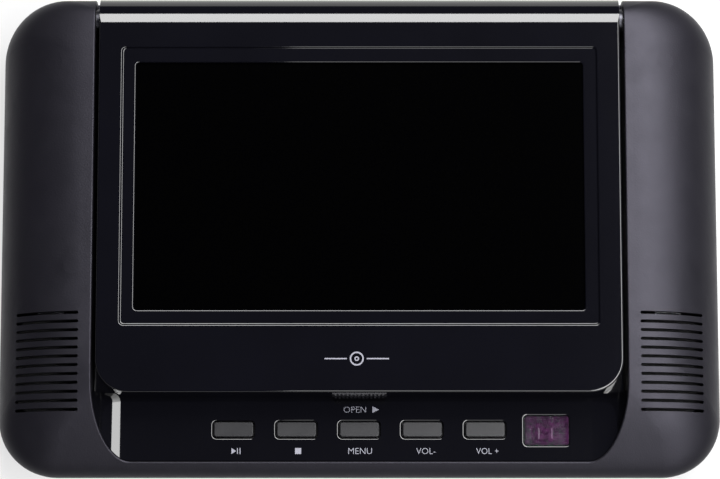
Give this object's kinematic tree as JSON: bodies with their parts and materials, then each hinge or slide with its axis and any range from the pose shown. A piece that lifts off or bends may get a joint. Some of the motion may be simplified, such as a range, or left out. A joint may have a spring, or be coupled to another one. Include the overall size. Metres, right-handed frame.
{
  "type": "portable disc player",
  "caption": "Portable disc player with its display in a hinged lid, side speakers in a U-shaped casing and a row of keys in front.",
  "frame": {"origin": "on the surface under the feet, below the middle of the casing's width and depth", "axes": "+X to the right of a person looking at the display, +Y to the hinge edge, +Z out of the display"},
  "size_m": [0.249, 0.1664, 0.036],
  "materials": {
    "casing_plastic": "fine spark-eroded texture, charcoal",
    "rear_plastic": "fine spark-eroded texture, darker charcoal",
    "gloss_black": "polished, piano black",
    "key_plastic": "satin grey",
    "window_tint": "polished, translucent purple",
    "deck_plastic": "satin, dark grey",
    "display_black": "low-glare polarizer film",
    "guide_acrylic": "clear acrylic with white backing",
    "steel": "zinc-plated",
    "bright_steel": "ground and polished",
    "die_cast": "as cast",
    "board_green": "solder mask",
    "chip_black": "moulded epoxy",
    "connector_white": "natural nylon",
    "can_aluminium": "drawn can",
    "rubber": "moulded",
    "cone_paper": "pressed paper",
    "cloth": "woven",
    "magnet": "nickel-plated",
    "cell_foil": "aluminium laminate pouch",
    "switch_plastic": "moulded",
    "lens_glass": "coated",
    "acetal": "natural acetal",
    "lead_jacket": "extruded jacket",
    "ribbon": "polyester film"
  },
  "bodies": {
    "base": {"front_casing": "casing_plastic", "rear_casing": "rear_plastic", "case_screws": "steel", "rubber_feet": "rubber", "control_panel": "gloss_black", "ir_window": "window_tint", "button_board": "board_green", "tact_switches": "switch_plastic", "ir_receiver": "steel", "deck_plate": "deck_plastic", "drive_chassis": "steel", "drive_dampers": "rubber", "drive_screws": "steel", "guide_rods": "bright_steel", "feed_motor": "steel", "spindle_motor": "steel", "hinge_bushes": "acetal", "speaker_frames": "steel", "speaker_cones": "cone_paper", "speaker_magnets": "magnet", "speaker_cloths": "cloth", "main_board": "board_green", "board_chips": "chip_black", "board_capacitors": "can_aluminium", "board_connectors": "connector_white", "socket_board": "board_green", "plug_sockets": "switch_plastic", "power_socket": "switch_plastic", "power_switch": "switch_plastic", "battery_cells": "cell_foil", "display_lead": "lead_jacket", "key_ribbon": "ribbon"},
    "lid": {"lid_front_bezel": "gloss_black", "lid_rear_cover": "deck_plastic", "lid_screws": "steel", "lid_bumpers": "rubber", "hinge_pins": "bright_steel", "hinge_washers": "bright_steel", "lcd_glass": "display_black", "light_guide": "guide_acrylic", "lcd_frame": "steel", "display_board": "board_green", "display_chips": "chip_black"},
    "latch": {"open_slider": "key_plastic", "latch_bar": "steel"},
    "disc_table": {"turntable": "switch_plastic", "turntable_ring": "rubber", "clamp_balls": "bright_steel"},
    "pickup": {"pickup_sled": "die_cast"},
    "lens": {"lens_holder": "switch_plastic", "pickup_lens": "lens_glass"},
    "feed_screw": {"lead_screw": "bright_steel"},
    "switch_knob": {"power_switch_knob": "key_plastic"},
    "play_pause_key": {"play_pause_button": "key_plastic"},
    "stop_key": {"stop_button": "key_plastic"},
    "menu_key": {"menu_button": "key_plastic"},
    "volume_down_key": {"volume_down_button": "key_plastic"},
    "volume_up_key": {"volume_up_button": "key_plastic"}
  },
  "joints": [
    {"name": "lid_hinge", "type": "hinge", "parent": "base", "child": "lid", "pos_m": [0, 0.0753, 0.0284], "axis": [-1, 0, 0], "range_deg": [0, 90]},
    {"name": "open_slide", "type": "slide", "parent": "lid", "child": "latch", "axis": [1, 0, 0], "range_m": [0, 0.004], "stiffness_N_per_m": 200, "springref_m": -0.004},
    {"name": "play_pause_press", "type": "slide", "parent": "base", "child": "play_pause_key", "axis": [0, 0, -1], "range_m": [0, 0.0004], "stiffness_N_per_m": 800, "springref_m": -0.0008},
    {"name": "stop_press", "type": "slide", "parent": "base", "child": "stop_key", "axis": [0, 0, -1], "range_m": [0, 0.0004], "stiffness_N_per_m": 800, "springref_m": -0.0008},
    {"name": "menu_press", "type": "slide", "parent": "base", "child": "menu_key", "axis": [0, 0, -1], "range_m": [0, 0.0004], "stiffness_N_per_m": 800, "springref_m": -0.0008},
    {"name": "volume_down_press", "type": "slide", "parent": "base", "child": "volume_down_key", "axis": [0, 0, -1], "range_m": [0, 0.0004], "stiffness_N_per_m": 800, "springref_m": -0.0008},
    {"name": "volume_up_press", "type": "slide", "parent": "base", "child": "volume_up_key", "axis": [0, 0, -1], "range_m": [0, 0.0004], "stiffness_N_per_m": 800, "springref_m": -0.0008},
    {"name": "disc_spin", "type": "hinge", "parent": "base", "child": "disc_table", "pos_m": [0, 0.0075, 0.017], "axis": [0, 0, 1], "continuous": true},
    {"name": "pickup_feed", "type": "slide", "parent": "base", "child": "pickup", "axis": [1, 0, 0], "range_m": [0, 0.034]},
    {"name": "lens_focus", "type": "slide", "parent": "pickup", "child": "lens", "axis": [0, 0, 1], "range_m": [-0.0004, 0.0004]},
    {"name": "feed_screw_turn", "type": "hinge", "parent": "base", "child": "feed_screw", "pos_m": [0.045, 0.031, 0.008], "axis": [1, 0, 0], "range_deg": [0, 4140]},
    {"name": "power_switch_slide", "type": "slide", "parent": "base", "child": "switch_knob", "axis": [0, 1, 0], "range_m": [0, 0.003]}
  ],
  "couplings": [
    {"joint": "feed_screw_turn", "follows": "pickup_feed", "rad_per_m": 2094.4}
  ]
}
